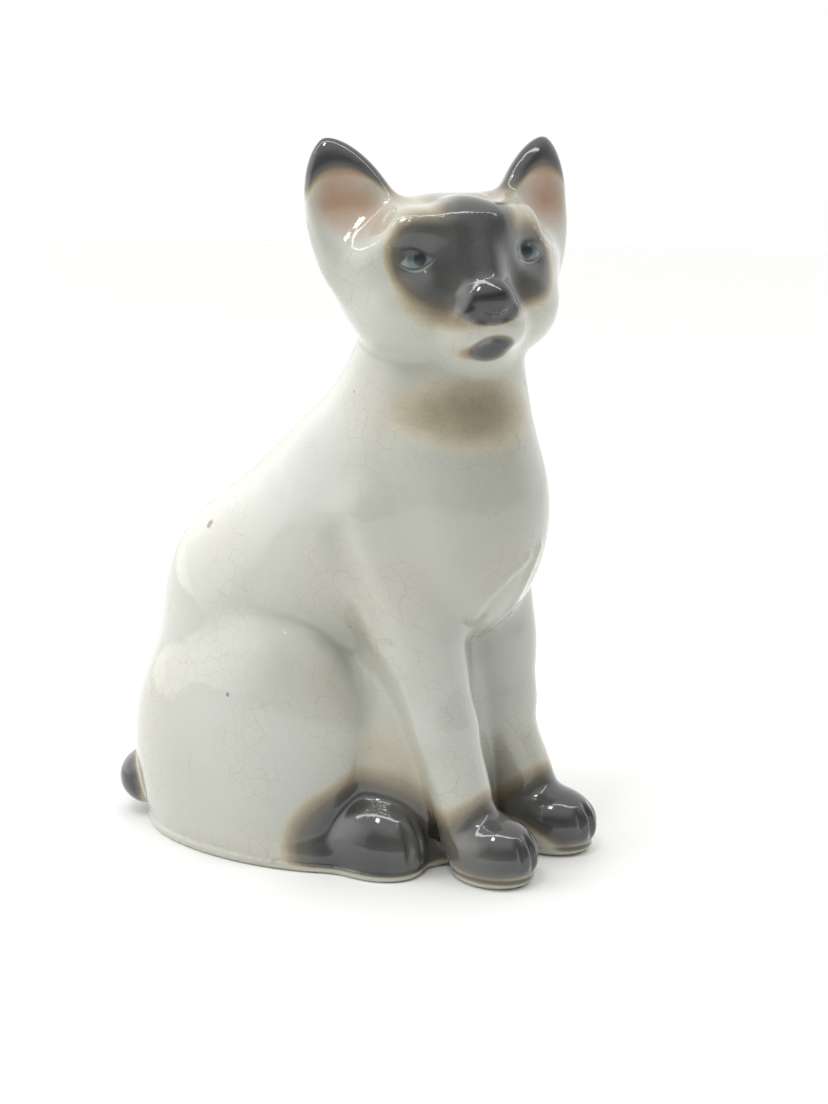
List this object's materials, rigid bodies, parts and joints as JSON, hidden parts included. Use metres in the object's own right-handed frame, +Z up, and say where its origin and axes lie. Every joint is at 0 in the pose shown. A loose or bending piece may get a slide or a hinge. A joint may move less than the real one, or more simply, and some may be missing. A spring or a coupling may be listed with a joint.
{
  "type": "seated cat figurine",
  "caption": "Hand-size hollow ceramic figurine of a seated cat with turned head, cupped ears, straight forelegs and a tail laid across the rump, glazed over a closed flat foot.",
  "frame": {"origin": "on the floor under the belly, in the middle of the figurine's width", "axes": "+Z up; the chest faces -Y; the cat's left side is +X"},
  "size_m": [0.0498, 0.078, 0.1076],
  "materials": {
    "ivory_glaze": "gloss",
    "seal_glaze": "gloss"
  },
  "bodies": {
    "root": {"body_shell": "ivory_glaze", "head_shell": "ivory_glaze", "ear_left": "seal_glaze", "ear_right": "seal_glaze", "foreleg_left": "ivory_glaze", "foreleg_right": "ivory_glaze", "hind_paw_left": "seal_glaze", "hind_paw_right": "seal_glaze", "tail": "seal_glaze"}
  },
  "joints": []
}
